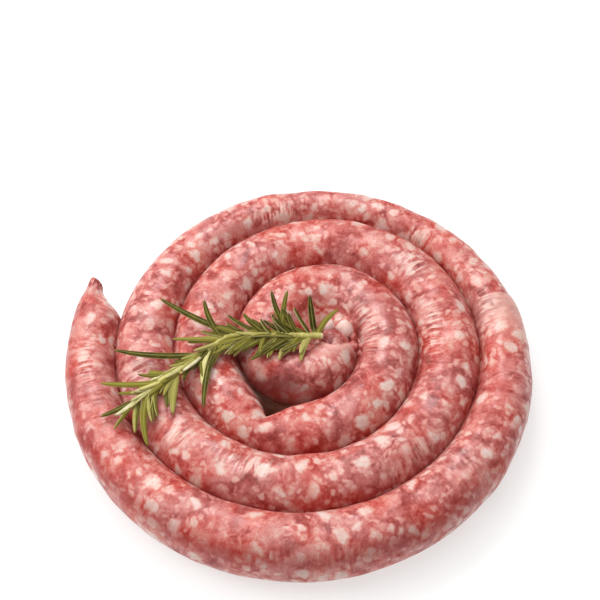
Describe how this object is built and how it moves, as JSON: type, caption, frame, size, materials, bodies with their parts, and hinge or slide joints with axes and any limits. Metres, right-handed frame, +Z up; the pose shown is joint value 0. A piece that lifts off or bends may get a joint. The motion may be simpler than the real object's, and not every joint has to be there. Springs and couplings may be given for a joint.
{
  "type": "coiled fresh sausage",
  "caption": "Raw coarse-ground sausage in one length, wound flat into a tight spiral with a pinched tail and a torn inner end, with a sprig of rosemary lying across it.",
  "frame": {"origin": "on the surface that the coil rests on, under the middle of its box", "axes": "+Z up out of the flat spiral, -Y towards the viewer of the picture, -X towards the tail"},
  "size_m": [0.204, 0.1977, 0.039],
  "materials": {
    "raw_sausage": "moist thin natural casing over coarse pink mince with pale fat",
    "rosemary": "leathery green needles with pale undersides on a woody stem"
  },
  "bodies": {
    "root": {"sausage_coil": "raw_sausage", "rosemary_sprig": "rosemary"}
  },
  "joints": []
}
